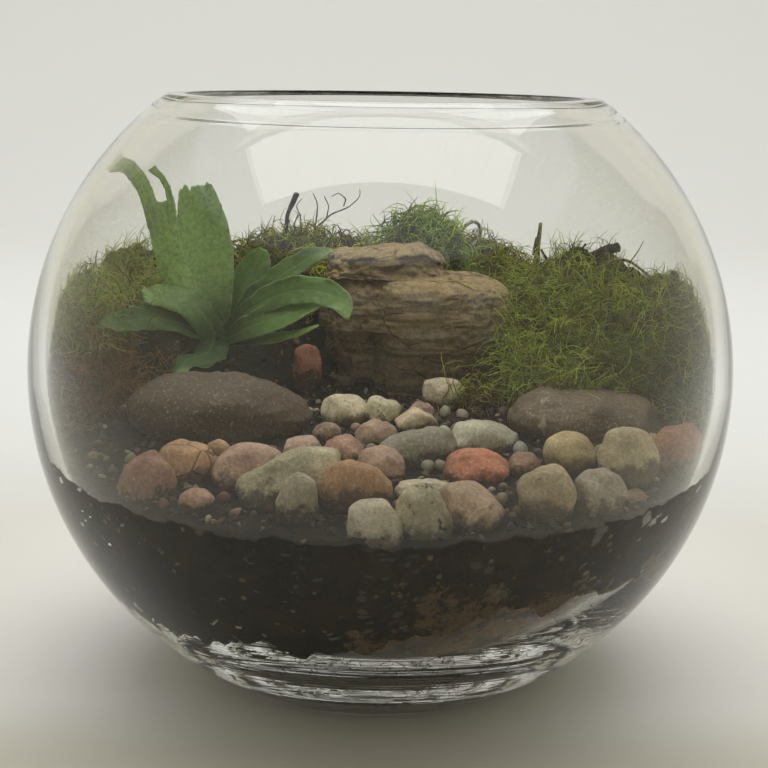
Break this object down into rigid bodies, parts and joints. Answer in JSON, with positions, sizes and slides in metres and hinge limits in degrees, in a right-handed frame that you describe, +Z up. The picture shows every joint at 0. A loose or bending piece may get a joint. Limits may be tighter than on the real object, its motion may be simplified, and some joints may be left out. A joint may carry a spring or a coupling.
{
  "type": "glass plant terrarium",
  "caption": "Planted bubble bowl of thick clear glass: grit and soil layers, river stones, a sandstone block, moss cushions, a small strap-leaved plant and twigs.",
  "frame": {"origin": "middle of the bowl's foot, on the surface it stands on", "axes": "+Z up through the bowl's mouth; the planting faces -Y, with +X to its right"},
  "size_m": [0.25, 0.25, 0.2078],
  "materials": {
    "clear_glass": "polished",
    "sandstone": "matte",
    "dark_cobble": "matte",
    "slate": "matte",
    "pebble_cream": "satin",
    "pebble_tan": "satin",
    "pebble_brown": "satin",
    "pebble_red": "satin",
    "pebble_grey_green": "satin",
    "grit": "matte",
    "soil": "matte",
    "moss_olive": "matte",
    "moss_green": "matte",
    "leaf": "satin",
    "leaf_pale": "satin",
    "twig": "matte"
  },
  "bodies": {
    "root": {"cobble_left": "dark_cobble", "cobble_right": "dark_cobble", "drainage_grit": "grit", "glass_bowl": "clear_glass", "leaf_big_right": "leaf", "leaf_broad": "leaf", "leaf_front": "leaf", "leaf_left_folded": "leaf", "leaf_left_long": "leaf", "leaf_right_low": "leaf", "leaf_right_small": "leaf", "leaf_short_back": "leaf", "leaf_tall_left": "leaf", "leaf_upper_right": "leaf", "moss_back": "moss_green", "moss_left": "moss_olive", "moss_right": "moss_green", "moss_tuft": "moss_green", "pebble_brown_flat": "pebble_brown", "pebble_brown_low": "pebble_brown", "pebble_brown_red": "pebble_red", "pebble_brown_ring": "pebble_brown", "pebble_brown_small": "pebble_brown", "pebble_brown_streak": "pebble_brown", "pebble_cream_block": "pebble_cream", "pebble_cream_round": "pebble_cream", "pebble_cream_tall": "pebble_cream", "pebble_dark_small": "pebble_grey_green", "pebble_green_big": "pebble_grey_green", "pebble_green_long": "pebble_grey_green", "pebble_green_oval": "pebble_grey_green", "pebble_grey_cream": "pebble_grey_green", "pebble_grey_upright": "pebble_grey_green", "pebble_long_cream": "pebble_cream", "pebble_mauve": "pebble_red", "pebble_mauve_dark": "pebble_red", "pebble_orange": "pebble_tan", "pebble_orange_round": "pebble_tan", "pebble_pale_flat": "pebble_cream", "pebble_pink_brown": "pebble_brown", "pebble_pink_flat": "pebble_tan", "pebble_pink_grey": "pebble_brown", "pebble_pinkish_cream": "pebble_tan", "pebble_red_block": "pebble_red", "pebble_red_upright": "pebble_red", "pebble_small_tan": "pebble_tan", "pebble_speckled": "pebble_cream", "pebble_spotted_oval": "pebble_cream", "pebble_striped": "pebble_brown", "pebble_tan_pointed": "pebble_cream", "pebble_white_grey": "pebble_cream", "pebble_yellow_round": "pebble_cream", "plant_crown": "leaf_pale", "potting_soil": "soil", "sandstone_block": "sandstone", "slate_stone": "slate", "stem_arch": "twig", "twig_back": "twig", "twig_knobbly": "twig", "twig_stub": "twig"}
  },
  "joints": []
}
